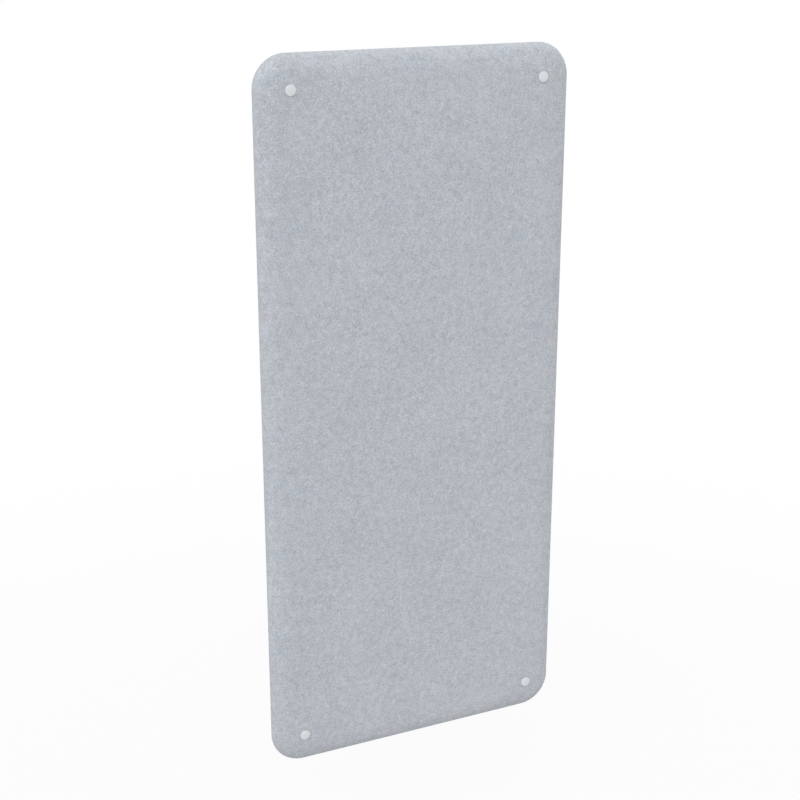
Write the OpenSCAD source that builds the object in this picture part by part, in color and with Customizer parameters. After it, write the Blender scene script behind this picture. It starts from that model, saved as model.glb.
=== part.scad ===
// Acoustic divider screen: a felt-covered panel with a round soft rim, held by four capped screws.
// Every piece is drawn lying on its back, and stand_up() then stands it upright:
// x runs to the right, y up the panel, and z forward from the plane that carries the panel.

/* [Panel] */
// Width of the upholstered panel
panel_w = 700; // [500:10:1000]
// Height of the upholstered panel
panel_h = 1550; // [1000:10:2000]
// Thickness of the panel over both covers
panel_t = 50; // [44:1:64]
// Radius of the panel's corners, seen from the front
corner_r = 70; // [60:1:80]
// Depth of the round rim, from the panel's edge to its flat face
rim_d = 55; // [30:1:60]
// Power of the rim's curve, where 2 is an ellipse and more is squarer
rim_power = 2.3; // [2:0.1:3]

/* [Covers] */
// Thickness of the cover's felt
cover_t = 1.5; // [1:0.1:3]
// Width of the seam allowance, turned in along the edge
seam_w = 8; // [5:0.5:12]
// Room between a cover and the pad under it
pad_gap = 0.3; // [0.1:0.1:0.6]

/* [Pads] */
// Thickness of a pad over the frame
pad_t = 8.2; // [6:0.1:11]

/* [Frame] */
// Distance of the frame in from the panel's edge
frame_inset = 18; // [15:1:26]
// Width of the stiles and of the top and bottom rails
rail_w = 45; // [36:1:55]
// Width of the two cross rails
cross_w = 45; // [36:1:70]
// Side of a corner block
block_w = 100; // [86:1:130]
// Side of the cut across a block's inner corner
block_cut = 30; // [10:1:45]
// Diameter of the dowels
dowel_d = 8; // [6:0.5:10]
// Length of the dowels
dowel_l = 40; // [24:2:60]
// Distance between the two dowels of a joint
dowel_pitch = 22; // [14:1:24]
// Bevel on the ends of a dowel
dowel_bevel = 1; // [0.5:0.1:2]
// Room around a dowel in its hole
dowel_gap = 0.1; // [0.05:0.05:0.2]
// Room past each end of a dowel
dowel_end_gap = 1; // [0.5:0.5:3]

/* [Core] */
// Thickness of the barrier boards
board_t = 3; // [2:0.5:6]
// Depth of the grooves that hold the boards
groove_depth = 5; // [3:0.5:6]
// Room on each side of a board in its groove
groove_gap = 0.2; // [0.1:0.1:0.5]
// Room past the edge of a board in its groove
board_edge_gap = 0.5; // [0.2:0.1:1]
// Room around an absorber slab in its bay
absorber_gap = 0.5; // [0.2:0.1:0.9]

/* [Fixings] */
// Distance of each fixing in from the panel's edges
fix_inset = 69; // [66:1:76]
// Diameter of the screws' thread
thread_d = 6; // [5:1:6]
// Diameter of the screws' plain shank
shank_d = 5.9; // [4.8:0.1:5.9]
// Length of thread that stands out behind the panel
thread_out = 15; // [8:1:40]
// Bevel on the tip of a screw
tip_bevel = 0.8; // [0.4:0.1:1.5]
// Diameter of a screw's head
head_d = 10.5; // [9:0.5:11]
// Height of a screw's head
head_h = 3.3; // [2.5:0.1:4]
// Height of the straight edge of a screw's head
head_edge = 0.8; // [0.4:0.1:1.4]
// Width across the flats of the hex socket in a screw's head
hex_w = 4; // [3:0.5:5]
// Depth of the hex socket
hex_depth = 2; // [1:0.1:2.2]
// Diameter of a washer
washer_d = 12; // [11:0.5:12]
// Thickness of a washer
washer_t = 1.6; // [1:0.1:2]
// Diameter of the hole in a washer
washer_hole_d = 6.4; // [6.2:0.1:7]
// Outer diameter of a spacer tube
spacer_d = 10; // [9:0.5:12]
// Bore of the spacer tubes, the cap sockets and the rear bushes
bore_d = 6.5; // [6.3:0.1:7.2]
// Diameter of a rear bush's barrel
bush_d = 15; // [12:0.5:18]
// Diameter of a rear bush's flange
bush_flange_d = 24; // [19:1:36]
// Thickness of a rear bush's flange
bush_flange_t = 3; // [2:0.5:8]
// Bevel on the edge of a rear bush's flange
bush_bevel = 0.6; // [0.2:0.1:1.2]
// Room around the barrels and the spacer tubes
barrel_gap = 0.2; // [0.1:0.1:0.5]

/* [Caps] */
// Outer diameter of a cap socket's barrel
socket_d = 15; // [14.6:0.1:16]
// Wall of a cap socket's barrel
socket_wall = 1.3; // [0.8:0.1:1.4]
// Thickness of a cap socket's floor
socket_floor = 1.4; // [1:0.1:2.5]
// Depth that a cap socket sinks into its corner block
socket_seat = 6; // [4:0.5:12]
// Diameter of a cap socket's flange
socket_flange_d = 18; // [17:0.5:19]
// Thickness of a cap socket's flange
socket_flange_t = 0.8; // [0.6:0.1:1.2]
// Diameter of a cap
cap_d = 22.5; // [21.5:0.5:30]
// Height of a cap's crown above the cover
cap_rise = 3; // [2.6:0.1:5]
// Height of the straight edge of a cap
cap_edge = 1; // [0.6:0.1:1.2]
// Room between a cap's edge and the cover
cap_gap = 0.3; // [0.2:0.1:0.6]
// Room between a cap and the flange that it covers
cap_flange_gap = 0.2; // [0.1:0.1:0.4]
// Room around a cap's stem in its socket
stem_gap = 0.1; // [0.05:0.05:0.2]
// Length of a cap's stem
stem_l = 9.5; // [5:0.5:10]
// Wall of a cap's stem
stem_wall = 1.4; // [1:0.1:2]
// Width of the slots that part the stem's four legs
stem_slot = 1.6; // [1:0.1:3]

/* [Zip] */
// Distance from the corner's curve to the end of the zip
zip_end = 30; // [15:1:60]
// Depth of the zip's tapes below the panel's edge
zip_depth = 4; // [3.6:0.1:6]
// Thickness of a tape
tape_t = 0.6; // [0.4:0.1:1]
// Length of tape past each end of the teeth
tape_end = 8; // [6:1:20]
// Width of one row of teeth
teeth_w = 2.4; // [1.8:0.1:2.6]
// Height of a row of teeth
teeth_h = 2.2; // [1.6:0.1:2.2]
// Distance between the two rows of teeth
teeth_gap = 1.2; // [1:0.1:1.6]
// Length of an end stop
stop_l = 4; // [3:0.5:5.5]
// Length of the slider
slider_l = 10; // [8:0.5:16]
// Thickness of each of the slider's two plates
slider_plate = 0.9; // [0.6:0.1:1]
// Width of the slider's side lips
slider_lip = 1; // [0.6:0.1:1.4]
// Height of the slider's side lips
lip_h = 1.8; // [1:0.1:2]
// Room between the slider and what it runs on
slider_gap = 0.3; // [0.2:0.1:0.3]
// Length of the post that joins the slider's plates
post_l = 3; // [2:0.5:6]
// Room between the slider and the sides of its slot
slot_gap = 0.5; // [0.3:0.1:1]
// Room between a parked slider and its stop
park_gap = 0.5; // [0.3:0.1:2]

/* [Hidden] */
$fn = 96;
// Steps in the curve of the rim's section
rim_steps = 14;
// Step that the curve's points are rounded to, so that straight and round runs meet exactly
point_step = 0.001;
// Overrun of every cut
overrun = 1;
// Number of bays between the rails
bays = 3;
// Heights of the main planes, forward from the plane that carries the panel
rear_z = bush_flange_t;
mid_z = rear_z + panel_t / 2;
front_z = rear_z + panel_t;
// The frame fills what the covers and pads leave
frame_t = panel_t - 2 * (cover_t + pad_gap + pad_t);
frame_rear_z = mid_z - frame_t / 2;
frame_front_z = mid_z + frame_t / 2;
frame_w = panel_w - 2 * frame_inset;
frame_h = panel_h - 2 * frame_inset;
// The bays inside the frame
bay_w = frame_w - 2 * rail_w;
bay_h = (frame_h - 2 * rail_w - (bays - 1) * cross_w) / bays;
bay_pitch = bay_h + cross_w;
absorber_t = (frame_t - board_t) / 2;
// The fixings' stack
fix_x = panel_w / 2 - fix_inset;
fix_y = panel_h / 2 - fix_inset;
socket_z = frame_front_z - socket_seat;
washer_z = socket_z + socket_floor;
head_z = washer_z + washer_t;
socket_bore_d = socket_d - 2 * socket_wall;
// A cap, from its edge up
cap_z = front_z + cap_gap;
crown_z = front_z + cap_rise;
cap_ceiling_z = front_z + socket_flange_t + cap_flange_gap;
crown_h = crown_z - cap_z - cap_edge;
crown_r = (pow(cap_d / 2, 2) + pow(crown_h, 2)) / (2 * crown_h);
stem_d = socket_bore_d - 2 * stem_gap;
// The zip, measured in from the panel's bottom edge
zip_l = panel_w - 2 * corner_r - 2 * zip_end;
teeth_l = zip_l - 2 * tape_end;
teeth_side = teeth_gap / 2 + teeth_w;
slider_w = 2 * (teeth_side + slider_gap + slider_lip);
slider_top = zip_depth - teeth_h - slider_gap;
slider_under = zip_depth + tape_t + slider_gap;
slot_w = slider_w + 2 * slot_gap;
slot_l = zip_l + 2 * slot_gap;
zip_room = slider_under + slider_plate + slot_gap;
tape_edge = rim_height(zip_depth - cover_t - pad_gap, rim_d - cover_t, panel_t / 2 - cover_t);
slider_x = -(teeth_l / 2 - park_gap - slider_l / 2);
LEFT = -1;
RIGHT = 1;
BOTTOM = -1;
TOP = 1;
REAR = -1;
FRONT = 1;
FELT = "#b2b6bc";
WADDING = "#eceae4";
TIMBER = "#d9bd8f";
PEG = "#c8a06a";
HARDBOARD = "#8c6b4a";
WOOL = "#7d8288";
WHITE = "#eeeeec";
GREY = "#9a9da1";
STEEL = "#b8bbbf";

// A rim's section is a superellipse: (1 - inward / depth)^power + (height / half_t)^power = 1
function rim_height(inward, depth, half_t) =
    half_t * pow(1 - pow(1 - inward / depth, rim_power), 1 / rim_power);

function rounded(p) = [for (value = p) point_step * round(value / point_step)];

// Points up a rim's section that is drawn in by a margin, from a lowest height to its flat face
function rim_curve(margin, lowest) =
    let (depth = rim_d - margin, half_t = panel_t / 2 - margin)
    let (start = asin(pow(lowest / half_t, rim_power / 2)))
    [for (i = [0:rim_steps]) let (a = start + (90 - start) * i / rim_steps) rounded([
        margin + depth * (1 - pow(cos(a), 2 / rim_power)),
        half_t * pow(sin(a), 2 / rim_power)
    ])];

function reversed(points) = [for (i = [len(points) - 1:-1:0]) points[i]];

// Corner block's outline, from the frame's own corner inwards, with room around it
function block_outline(room) = let (b = block_w + room, c = block_w + room - block_cut)
    [[-overrun, -overrun], [b, -overrun], [b, c], [c, b], [-overrun, b]];

module stand_up() rotate([90, 0, 0]) children();

module at_fixing(side, level) translate([side * fix_x, level * fix_y, 0]) children();

module at_fixings() {
    for (side = [LEFT, RIGHT], level = [BOTTOM, TOP]) at_fixing(side, level) children();
}

module box(from, to) translate(from) cube(to - from);

// A tube or rod along z
module ring(d, hole_d, from, to) {
    difference() {
        translate([0, 0, from]) cylinder(d = d, h = to - from);
        translate([0, 0, from - overrun]) cylinder(d = hole_d, h = to - from + 2 * overrun);
    }
}

// A rectangle with round corners
module rounded_plate(w, h, r, from, to) {
    translate([0, 0, (from + to) / 2]) {
        cube([w - 2 * r, h, to - from], center = true);
        cube([w, h - 2 * r, to - from], center = true);
        for (side = [LEFT, RIGHT], level = [BOTTOM, TOP])
            translate([side * (w / 2 - r), level * (h / 2 - r), 0])
                cylinder(r = r, h = to - from, center = true);
    }
}

// A half's section between two paths from the seam in to the flat face, drawn from a corner's centre:
// x runs out to the edge, y up from the middle plane, and the flat face reaches in to a given depth
function half_section(outer, inner, reach) =
    let (top = outer[len(outer) - 1].y, under = inner[len(inner) - 1].y)
    [for (p = concat(outer, [[reach, top], [reach, under]], reversed(inner))) [corner_r - p.x, p.y]];

// A section swept along x, with its own x towards y
module straight_run(section, l) rotate([90, 0, 90]) linear_extrude(l, center = true) polygon(section);

// Sweeps a section around the panel's outline. Straight and round runs are all drawn from the corners'
// centres, so that their ends are the same, and the top and bottom runs overlap in the middle.
module swept_half(outer, inner) {
    run_w = panel_w - 2 * corner_r;
    run_h = panel_h - 2 * corner_r;
    rim = half_section(outer, inner, corner_r);
    rim_and_face = half_section(outer, inner, panel_h / 2 + overrun);
    for (level = [BOTTOM, TOP]) translate([0, level * run_h / 2, 0])
        rotate([0, 0, level == TOP ? 0 : 180]) straight_run(rim_and_face, run_w);
    for (side = [LEFT, RIGHT]) translate([side * run_w / 2, 0, 0])
        rotate([0, 0, side == LEFT ? 90 : -90]) straight_run(rim, run_h);
    for (quarter = [0:3]) {
        side = quarter == 0 || quarter == 3 ? RIGHT : LEFT;
        level = quarter < 2 ? TOP : BOTTOM;
        translate([side * run_w / 2, level * run_h / 2, 0]) rotate([0, 0, 90 * quarter])
            rotate_extrude(angle = 90) polygon(rim);
    }
}

// Turns a front half that is drawn on z = 0 into the front or the rear half on the middle plane
module on_middle(face) translate([0, 0, mid_z]) mirror([0, 0, face == REAR ? 1 : 0]) children();

// Half of the cover: a felt skin over the rim and face, with its seam allowance turned in
module cover(face, hole_d) {
    inner = concat([[seam_w, 0], [seam_w, cover_t]], rim_curve(cover_t, cover_t));
    color(FELT) stand_up() difference() {
        on_middle(face) swept_half(rim_curve(0, 0), inner);
        zip_slot();
        at_fixings() translate([0, 0, face == FRONT ? mid_z : rear_z - overrun])
            cylinder(d = hole_d, h = panel_t / 2 + overrun);
    }
}

// Half of the wadding around the frame, with room for the seam allowance at its edge
module pad(face, hole_d) {
    margin = cover_t + pad_gap;
    edge = seam_w + pad_gap;
    pocket = frame_inset - pad_gap;
    outer = concat([[edge, 0], [edge, margin]], rim_curve(margin, margin));
    color(WADDING) stand_up() difference() {
        on_middle(face) swept_half(outer, [[pocket, 0], [pocket, frame_t / 2]]);
        zip_room_cut();
        at_fixings() translate([0, 0, face == FRONT ? mid_z : rear_z])
            cylinder(d = hole_d, h = panel_t / 2);
    }
}

// Slot along the bottom edge, through both covers
module zip_slot() {
    box(
        [-slot_l / 2, -panel_h / 2 - overrun, mid_z - slot_w / 2],
        [slot_l / 2, -panel_h / 2 + zip_room + seam_w, mid_z + slot_w / 2]
    );
}

// Room behind the slot for the tapes and the slider
module zip_room_cut() {
    room = tape_edge + pad_gap;
    box(
        [-slot_l / 2, -panel_h / 2 - overrun, mid_z - room],
        [slot_l / 2, -panel_h / 2 + zip_room, mid_z + room]
    );
}

module front_cover() cover(FRONT, socket_d + 2 * barrel_gap);
module rear_cover() cover(REAR, bush_d + 2 * barrel_gap);
module front_pad() pad(FRONT, socket_d + 2 * barrel_gap);
module rear_pad() pad(REAR, bush_d + 2 * barrel_gap);

module dowel(axis, room) {
    d = dowel_d + 2 * room;
    l = dowel_l + (room > 0 ? 2 * dowel_end_gap : 0);
    bevel = room > 0 ? 0 : dowel_bevel;
    rotate(axis == "x" ? [0, 90, 0] : [90, 0, 0]) {
        cylinder(d = d, h = l - 2 * bevel, center = true);
        if (bevel > 0) {
            for (end = [0, 180]) rotate([end, 0, 0]) translate([0, 0, l / 2 - bevel])
                cylinder(d1 = d, d2 = d - 2 * bevel, h = bevel);
        }
    }
}

// The dowels of the eight joints between the corner blocks, stiles and rails
module corner_dowel_set(room) {
    for (side = [LEFT, RIGHT], level = [BOTTOM, TOP], k = [-0.5, 0.5]) {
        translate([
            side * (frame_w / 2 - rail_w / 2 + k * dowel_pitch), level * (frame_h / 2 - block_w), mid_z
        ]) dowel("y", room);
        translate([
            side * (frame_w / 2 - block_w), level * (frame_h / 2 - rail_w / 2 + k * dowel_pitch), mid_z
        ]) dowel("x", room);
    }
}

// The dowels of the four joints between the cross rails and the stiles
module cross_dowel_set(room) {
    for (side = [LEFT, RIGHT], level = [BOTTOM, TOP], k = [-0.5, 0.5]) {
        translate([side * bay_w / 2, level * bay_pitch / 2 + k * dowel_pitch, mid_z]) dowel("x", room);
    }
}

// Grooves for the boards: one frame-shaped cut for each bay
module grooves() {
    for (bay = [-1:1]) translate([0, bay * bay_pitch, mid_z]) cube(
        [bay_w + 2 * groove_depth, bay_h + 2 * groove_depth, board_t + 2 * groove_gap], center = true
    );
}

module timber(from, to) {
    color(TIMBER) stand_up() difference() {
        box([from.x, from.y, frame_rear_z], [to.x, to.y, frame_front_z]);
        grooves();
        corner_dowel_set(dowel_gap);
        cross_dowel_set(dowel_gap);
    }
}

module stile(side) {
    x = side * (frame_w - rail_w) / 2;
    reach = frame_h / 2 - block_w;
    timber([x - rail_w / 2, -reach], [x + rail_w / 2, reach]);
}

module end_rail(level) {
    y = level * (frame_h - rail_w) / 2;
    reach = frame_w / 2 - block_w;
    timber([-reach, y - rail_w / 2], [reach, y + rail_w / 2]);
}

module cross_rail(level) {
    y = level * bay_pitch / 2;
    timber([-bay_w / 2, y - cross_w / 2], [bay_w / 2, y + cross_w / 2]);
}

module stile_left() stile(LEFT);
module stile_right() stile(RIGHT);
module rail_top() end_rail(TOP);
module rail_bottom() end_rail(BOTTOM);
module cross_rail_upper() cross_rail(TOP);
module cross_rail_lower() cross_rail(BOTTOM);

// What a corner block fills, as tall as the frame is thick or more
module block_space(side, level, room, from, to) {
    translate([0, 0, from]) linear_extrude(to - from) polygon([
        for (p = block_outline(room)) [side * (frame_w / 2 - p.x), level * (frame_h / 2 - p.y)]
    ]);
}

module block(side, level) {
    color(TIMBER) stand_up() difference() {
        intersection() {
            rounded_plate(frame_w, frame_h, corner_r - frame_inset, frame_rear_z, frame_front_z);
            block_space(side, level, 0, frame_rear_z - overrun, frame_front_z + overrun);
        }
        corner_dowel_set(dowel_gap);
        at_fixing(side, level) {
            translate([0, 0, socket_z])
                cylinder(d = socket_d + 2 * barrel_gap, h = frame_front_z - socket_z + overrun);
            translate([0, 0, frame_rear_z - overrun])
                cylinder(d = spacer_d + 2 * barrel_gap, h = socket_z - frame_rear_z + 2 * overrun);
        }
    }
}

module block_top_left() block(LEFT, TOP);
module block_top_right() block(RIGHT, TOP);
module block_bottom_left() block(LEFT, BOTTOM);
module block_bottom_right() block(RIGHT, BOTTOM);

module corner_dowels() color(PEG) stand_up() corner_dowel_set(0);
module cross_rail_dowels() color(PEG) stand_up() cross_dowel_set(0);

// A flat sheet in one bay, cut clear of the corner blocks
module bay_sheet(bay, w, h, room, from, to) {
    stand_up() difference() {
        translate([0, bay * bay_pitch, (from + to) / 2]) cube([w, h, to - from], center = true);
        if (bay != 0) {
            for (side = [LEFT, RIGHT]) block_space(side, bay, room, from - overrun, to + overrun);
        }
    }
}

module board(bay) {
    reach = 2 * (groove_depth - board_edge_gap);
    color(HARDBOARD) bay_sheet(
        bay, bay_w + reach, bay_h + reach, board_edge_gap, mid_z - board_t / 2, mid_z + board_t / 2
    );
}

module absorber(bay, face) {
    w = bay_w - 2 * absorber_gap;
    h = bay_h - 2 * absorber_gap;
    near = mid_z + face * board_t / 2;
    far = near + face * absorber_t;
    color(WOOL) bay_sheet(bay, w, h, absorber_gap, min(near, far), max(near, far));
}

module board_upper() board(1);
module board_middle() board(0);
module board_lower() board(-1);
module absorber_front_upper() absorber(1, FRONT);
module absorber_front_middle() absorber(0, FRONT);
module absorber_front_lower() absorber(-1, FRONT);
module absorber_rear_upper() absorber(1, REAR);
module absorber_rear_middle() absorber(0, REAR);
module absorber_rear_lower() absorber(-1, REAR);

// A domed cap with a slotted stem, over the socket's flange
module cap(side, level) {
    color(WHITE) stand_up() at_fixing(side, level) {
        difference() {
            union() {
                translate([0, 0, cap_z]) cylinder(d = cap_d, h = cap_edge);
                intersection() {
                    translate([0, 0, cap_z + cap_edge]) cylinder(d = cap_d, h = crown_h + overrun);
                    translate([0, 0, crown_z - crown_r]) sphere(r = crown_r);
                }
            }
            translate([0, 0, cap_z - overrun])
                cylinder(d = socket_flange_d + 4 * cap_flange_gap, h = cap_ceiling_z - cap_z + overrun);
        }
        difference() {
            ring(stem_d, stem_d - 2 * stem_wall, cap_ceiling_z - stem_l, cap_ceiling_z);
            for (turn = [0, 90]) rotate([0, 0, turn])
                translate([-stem_d, -stem_slot / 2, cap_ceiling_z - stem_l - overrun])
                    cube([2 * stem_d, stem_slot, stem_l - socket_flange_t + overrun]);
        }
    }
}

module cap_top_left() cap(LEFT, TOP);
module cap_top_right() cap(RIGHT, TOP);
module cap_bottom_left() cap(LEFT, BOTTOM);
module cap_bottom_right() cap(RIGHT, BOTTOM);

// A flanged cup that clamps the panel to its screw and takes the cap's stem
module socket(side, level) {
    color(WHITE) stand_up() at_fixing(side, level) {
        ring(socket_d, socket_bore_d, washer_z, front_z);
        ring(socket_d, bore_d, socket_z, washer_z);
        ring(socket_flange_d, socket_bore_d, front_z, front_z + socket_flange_t);
    }
}

module socket_top_left() socket(LEFT, TOP);
module socket_top_right() socket(RIGHT, TOP);
module socket_bottom_left() socket(LEFT, BOTTOM);
module socket_bottom_right() socket(RIGHT, BOTTOM);

module spacer(side, level) {
    color(STEEL) stand_up() at_fixing(side, level) ring(spacer_d, bore_d, frame_rear_z, socket_z);
}

module spacer_top_left() spacer(LEFT, TOP);
module spacer_top_right() spacer(RIGHT, TOP);
module spacer_bottom_left() spacer(LEFT, BOTTOM);
module spacer_bottom_right() spacer(RIGHT, BOTTOM);

// A flanged foot that holds the panel off the plane behind it
module bush(side, level) {
    color(WHITE) stand_up() at_fixing(side, level) difference() {
        union() {
            cylinder(d1 = bush_flange_d - 2 * bush_bevel, d2 = bush_flange_d, h = bush_bevel);
            translate([0, 0, bush_bevel]) cylinder(d = bush_flange_d, h = bush_flange_t - bush_bevel);
            translate([0, 0, bush_flange_t]) cylinder(d = bush_d, h = frame_rear_z - bush_flange_t);
        }
        translate([0, 0, -overrun]) cylinder(d = bore_d, h = frame_rear_z + 2 * overrun);
    }
}

module bush_top_left() bush(LEFT, TOP);
module bush_top_right() bush(RIGHT, TOP);
module bush_bottom_left() bush(LEFT, BOTTOM);
module bush_bottom_right() bush(RIGHT, BOTTOM);

// Button-head screws, with their thread as a plain round behind the panel
module screws() {
    dome_h = head_h - head_edge;
    dome_r = (pow(head_d / 2, 2) + pow(dome_h, 2)) / (2 * dome_h);
    color(STEEL) stand_up() at_fixings() difference() {
        union() {
            translate([0, 0, -thread_out])
                cylinder(d1 = thread_d - 2 * tip_bevel, d2 = thread_d, h = tip_bevel);
            translate([0, 0, tip_bevel - thread_out]) cylinder(d = thread_d, h = thread_out - tip_bevel);
            cylinder(d = shank_d, h = head_z);
            translate([0, 0, head_z]) cylinder(d = head_d, h = head_edge);
            intersection() {
                translate([0, 0, head_z + head_edge]) cylinder(d = head_d, h = dome_h + overrun);
                translate([0, 0, head_z + head_h - dome_r]) sphere(r = dome_r);
            }
        }
        translate([0, 0, head_z + head_h - hex_depth])
            cylinder(d = hex_w / cos(30), h = hex_depth + overrun, $fn = 6);
    }
}

module washers() {
    color(STEEL) stand_up() at_fixings() ring(washer_d, washer_hole_d, washer_z, head_z);
}

// Places a piece of the zip: x along the edge, y in from the edge, z forward from the seam
module at_zip() translate([0, -panel_h / 2, mid_z]) children();

module tape(face) {
    color(GREY) stand_up() at_zip() mirror([0, 0, face == REAR ? 1 : 0])
        box([-zip_l / 2, zip_depth, teeth_gap / 2], [zip_l / 2, zip_depth + tape_t, tape_edge]);
}

module teeth(face) {
    color(GREY) stand_up() at_zip() mirror([0, 0, face == REAR ? 1 : 0])
        box([-teeth_l / 2, zip_depth - teeth_h, teeth_gap / 2], [teeth_l / 2, zip_depth, teeth_side]);
}

module zip_tape_front() tape(FRONT);
module zip_tape_rear() tape(REAR);
module zip_teeth_front() teeth(FRONT);
module zip_teeth_rear() teeth(REAR);

module zip_stops() {
    color(STEEL) stand_up() at_zip() for (side = [LEFT, RIGHT])
        translate([side * (teeth_l + stop_l) / 2, zip_depth - teeth_h / 2, 0])
            cube([stop_l, teeth_h, 2 * teeth_side], center = true);
}

// Two plates joined by a post between the rows of teeth, with lips beside them
module zip_slider() {
    half_l = slider_l / 2;
    half_w = slider_w / 2;
    half_post = (teeth_gap - 2 * slider_gap) / 2;
    outer_y = slider_top - slider_plate;
    inner_y = slider_under + slider_plate;
    color(STEEL) stand_up() at_zip() translate([slider_x, 0, 0]) {
        box([-half_l, outer_y, -half_w], [half_l, slider_top, half_w]);
        box([-half_l, slider_under, -half_w], [half_l, inner_y, half_w]);
        box([half_l - post_l, outer_y, -half_post], [half_l, inner_y, half_post]);
        for (face = [REAR, FRONT]) mirror([0, 0, face == REAR ? 1 : 0])
            box([-half_l, outer_y, half_w - slider_lip], [half_l, slider_top + lip_h, half_w]);
    }
}

front_cover();
rear_cover();
front_pad();
rear_pad();
stile_left();
stile_right();
rail_top();
rail_bottom();
cross_rail_upper();
cross_rail_lower();
block_top_left();
block_top_right();
block_bottom_left();
block_bottom_right();
corner_dowels();
cross_rail_dowels();
board_upper();
board_middle();
board_lower();
absorber_front_upper();
absorber_front_middle();
absorber_front_lower();
absorber_rear_upper();
absorber_rear_middle();
absorber_rear_lower();
cap_top_left();
cap_top_right();
cap_bottom_left();
cap_bottom_right();
socket_top_left();
socket_top_right();
socket_bottom_left();
socket_bottom_right();
spacer_top_left();
spacer_top_right();
spacer_bottom_left();
spacer_bottom_right();
bush_top_left();
bush_top_right();
bush_bottom_left();
bush_bottom_right();
screws();
washers();
zip_tape_front();
zip_tape_rear();
zip_teeth_front();
zip_teeth_rear();
zip_stops();
zip_slider();
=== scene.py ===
"""Looks of the acoustic divider screen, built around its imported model.

Shapes are drawn lying on their backs, in millimetres, as in the part's source: x to the right, y up the
panel, z forward from the plane that carries it. place() stands them up in the row's frame, in metres.
"""
import math

import bmesh
import bpy
from mathutils import Euler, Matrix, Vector, noise
from mathutils.geometry import delaunay_2d_cdt


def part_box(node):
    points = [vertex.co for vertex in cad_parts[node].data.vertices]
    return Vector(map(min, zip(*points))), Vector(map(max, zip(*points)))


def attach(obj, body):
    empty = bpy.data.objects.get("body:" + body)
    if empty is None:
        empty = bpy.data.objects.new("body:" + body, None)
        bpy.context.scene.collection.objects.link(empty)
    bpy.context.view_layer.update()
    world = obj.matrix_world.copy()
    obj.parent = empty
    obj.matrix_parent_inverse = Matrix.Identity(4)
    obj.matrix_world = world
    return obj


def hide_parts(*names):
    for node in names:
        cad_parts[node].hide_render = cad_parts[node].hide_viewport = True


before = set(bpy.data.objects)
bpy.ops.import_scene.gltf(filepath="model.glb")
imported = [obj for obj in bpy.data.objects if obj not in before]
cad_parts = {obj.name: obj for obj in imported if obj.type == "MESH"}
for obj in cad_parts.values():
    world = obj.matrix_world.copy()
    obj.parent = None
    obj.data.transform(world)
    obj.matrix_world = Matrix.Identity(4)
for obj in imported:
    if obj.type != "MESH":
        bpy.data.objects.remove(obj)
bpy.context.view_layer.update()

# Sizes of the part, which the pieces here are fitted to


def place(p):
    """A point of the lying frame, stood up in the row's frame."""
    return (p[0] / 1000, -p[2] / 1000, p[1] / 1000)


def lying_box(node):
    """The lowest and the highest corner of a CAD node, in the lying frame and in mm."""
    (x0, y0, z0), (x1, y1, z1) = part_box(node)
    return [round(1000 * v, 3) for v in (x0, z0, -y1)], [round(1000 * v, 3) for v in (x1, z1, -y0)]


def between(low, high):
    """The distance between two places, to a micrometre."""
    return round(high - low, 3)


cover_low, cover_high = lying_box("front_cover")
stile_low, stile_high = lying_box("stile_left")
cap_low, cap_high = lying_box("cap_top_right")
socket_low, socket_high = lying_box("socket_top_right")
spacer_low, spacer_high = lying_box("spacer_top_right")
_, bush_high = lying_box("bush_top_right")
washer_low, washer_high = lying_box("washers")
screw_low, screw_high = lying_box("screws")
tape_low, tape_high = lying_box("zip_tape_front")
teeth_low, teeth_high = lying_box("zip_teeth_front")
_, stop_high = lying_box("zip_stops")
slider_low, slider_high = lying_box("zip_slider")

# The panel, its round corners and its rim, whose section is a superellipse
PANEL_W, PANEL_H = 2 * cover_high[0], 2 * cover_high[1]
MID_Z, FRONT_Z = cover_low[2], cover_high[2]
HALF_T = FRONT_Z - MID_Z
REAR_Z = MID_Z - HALF_T
CORNER_R, RIM_D, RIM_POWER = 70.0, 55.0, 2.3

# The frame inside it
FRAME_REAR_Z, FRAME_FRONT_Z = stile_low[2], stile_high[2]
FRAME_HALF_T = (FRAME_FRONT_Z - FRAME_REAR_Z) / 2
FRAME_INSET = PANEL_W / 2 + stile_low[0]

# The four fixings, whose axes are read from round meshes, to a tenth
CORNERS = {"top_left": (-1, 1), "top_right": (1, 1), "bottom_left": (-1, -1), "bottom_right": (1, -1)}
FIX_X = round((cap_low[0] + cap_high[0]) / 2, 1)
FIX_Y = round((cap_low[1] + cap_high[1]) / 2, 1)
CAP_R = between(FIX_X, cap_high[0])
SOCKET_FLANGE_R = between(FIX_X, socket_high[0])
SPACER_R = between(FIX_X, spacer_high[0])
BUSH_FLANGE_R = between(FIX_X, bush_high[0])
WASHER_R = between(FIX_X, washer_high[0])
HEAD_R = between(FIX_X, screw_high[0])
BARREL_R, BORE_R, SCREW_HOLE_R, WASHER_HOLE_R, SCREW_R = 7.5, 6.2, 3.25, 3.2, 3.0
HOLE_R = BARREL_R + 0.2

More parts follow.
